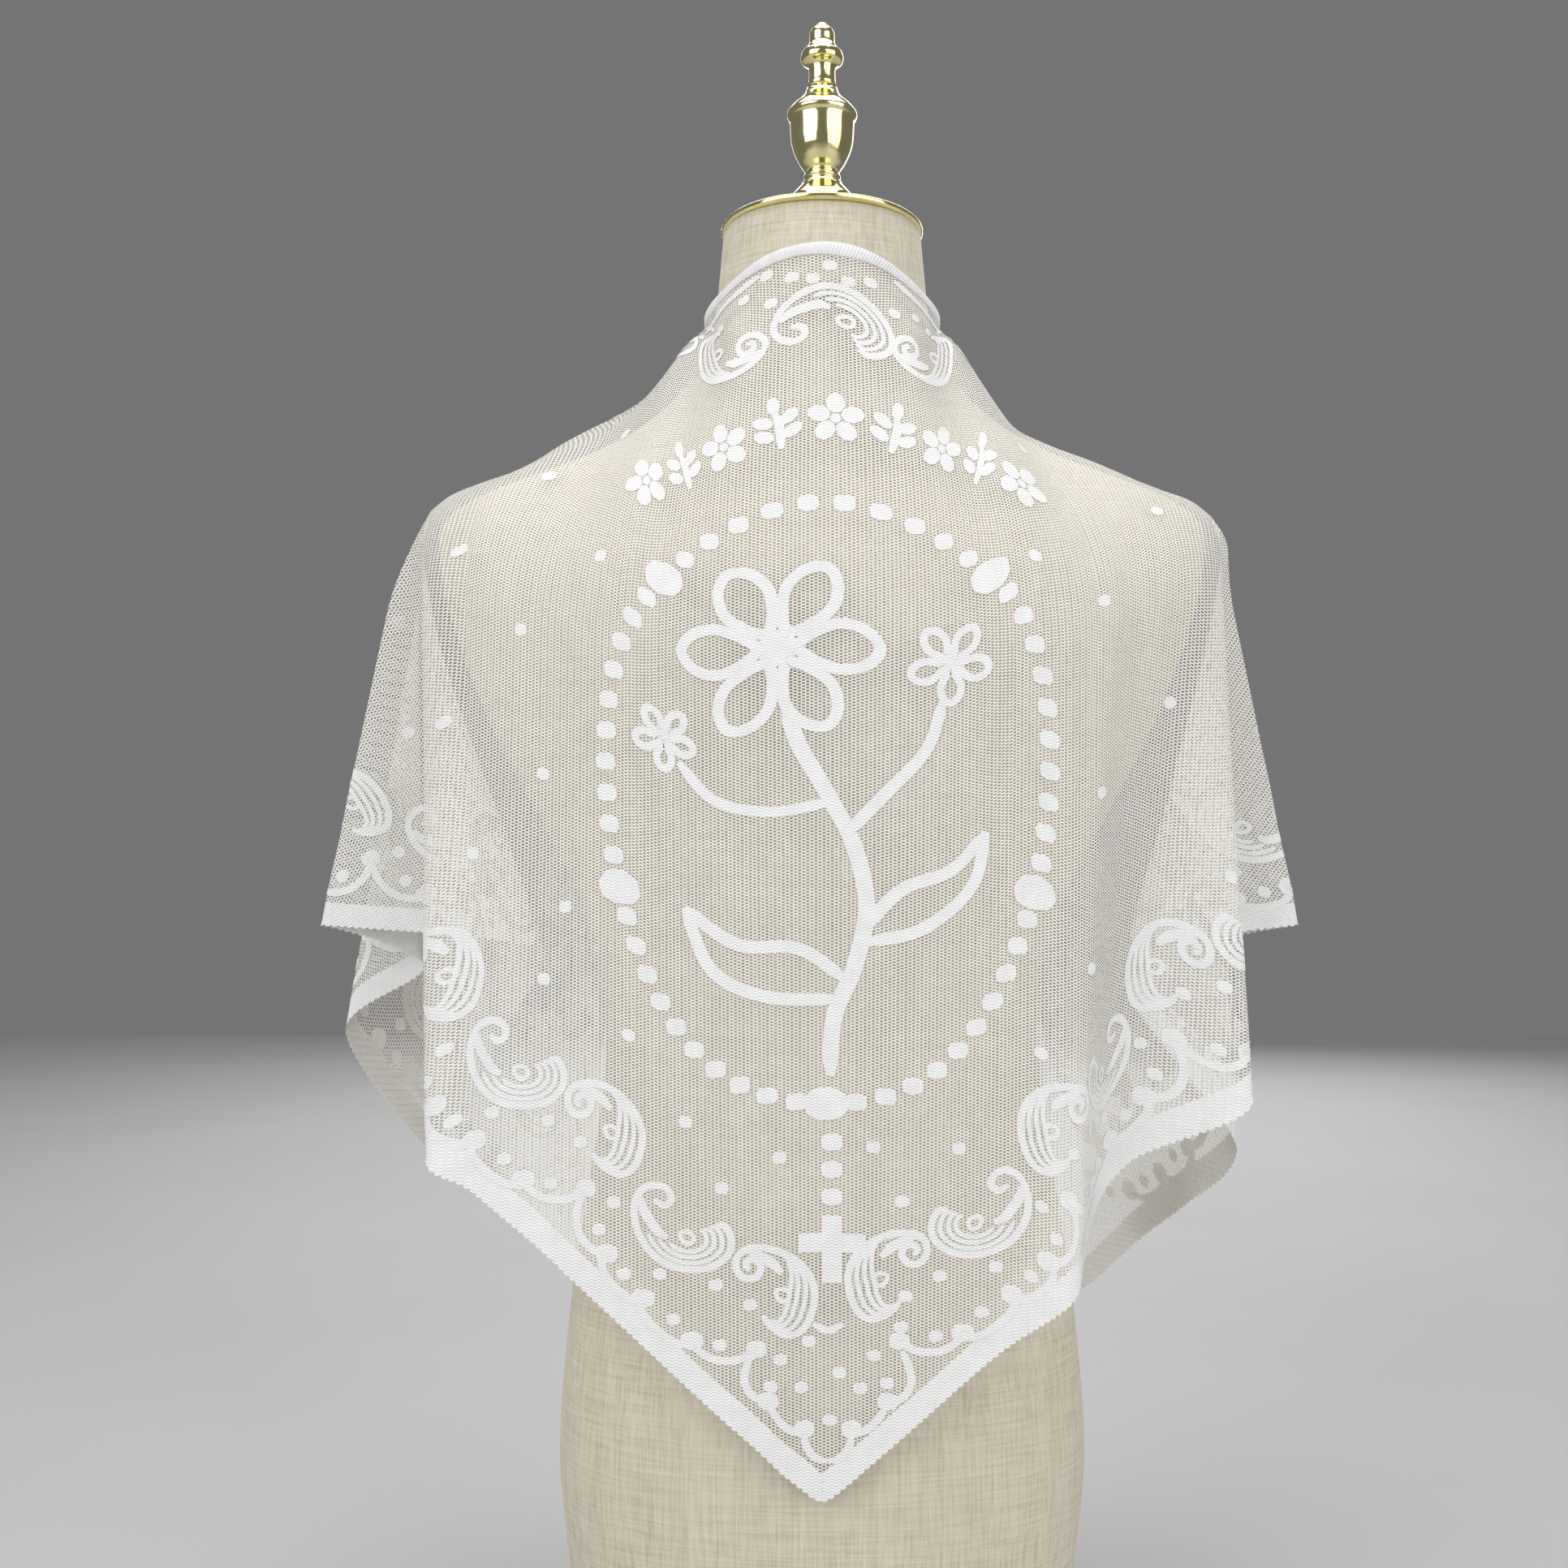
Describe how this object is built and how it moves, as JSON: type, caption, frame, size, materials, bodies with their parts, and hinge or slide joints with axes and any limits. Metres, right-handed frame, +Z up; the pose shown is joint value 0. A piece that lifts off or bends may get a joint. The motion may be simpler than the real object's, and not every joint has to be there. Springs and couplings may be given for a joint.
{
  "type": "triangle lace scarf on dress form",
  "caption": "White net lace triangle scarf draped over the shoulders of a limbless linen dress form with a turned brass finial.",
  "frame": {"origin": "middle of the overall box at the underside of the dress form", "axes": "+Z up, +Y the way the form faces, so the deep point of the scarf hangs at -Y; +X to the right seen from behind"},
  "size_m": [0.5734, 0.2435, 0.9554],
  "materials": {
    "lace": "white knitted net lace with a satin thread",
    "hem_cloth": "white folded and stitched edge",
    "linen": "plain natural linen with slubs, drawn tight",
    "brass": "polished"
  },
  "bodies": {
    "root": {"lace_panel": "lace", "neck_edge_hem": "hem_cloth", "form_torso": "linen", "neck_cap": "brass", "finial_foot": "brass", "finial_urn": "brass", "finial_knob": "brass"}
  },
  "joints": []
}
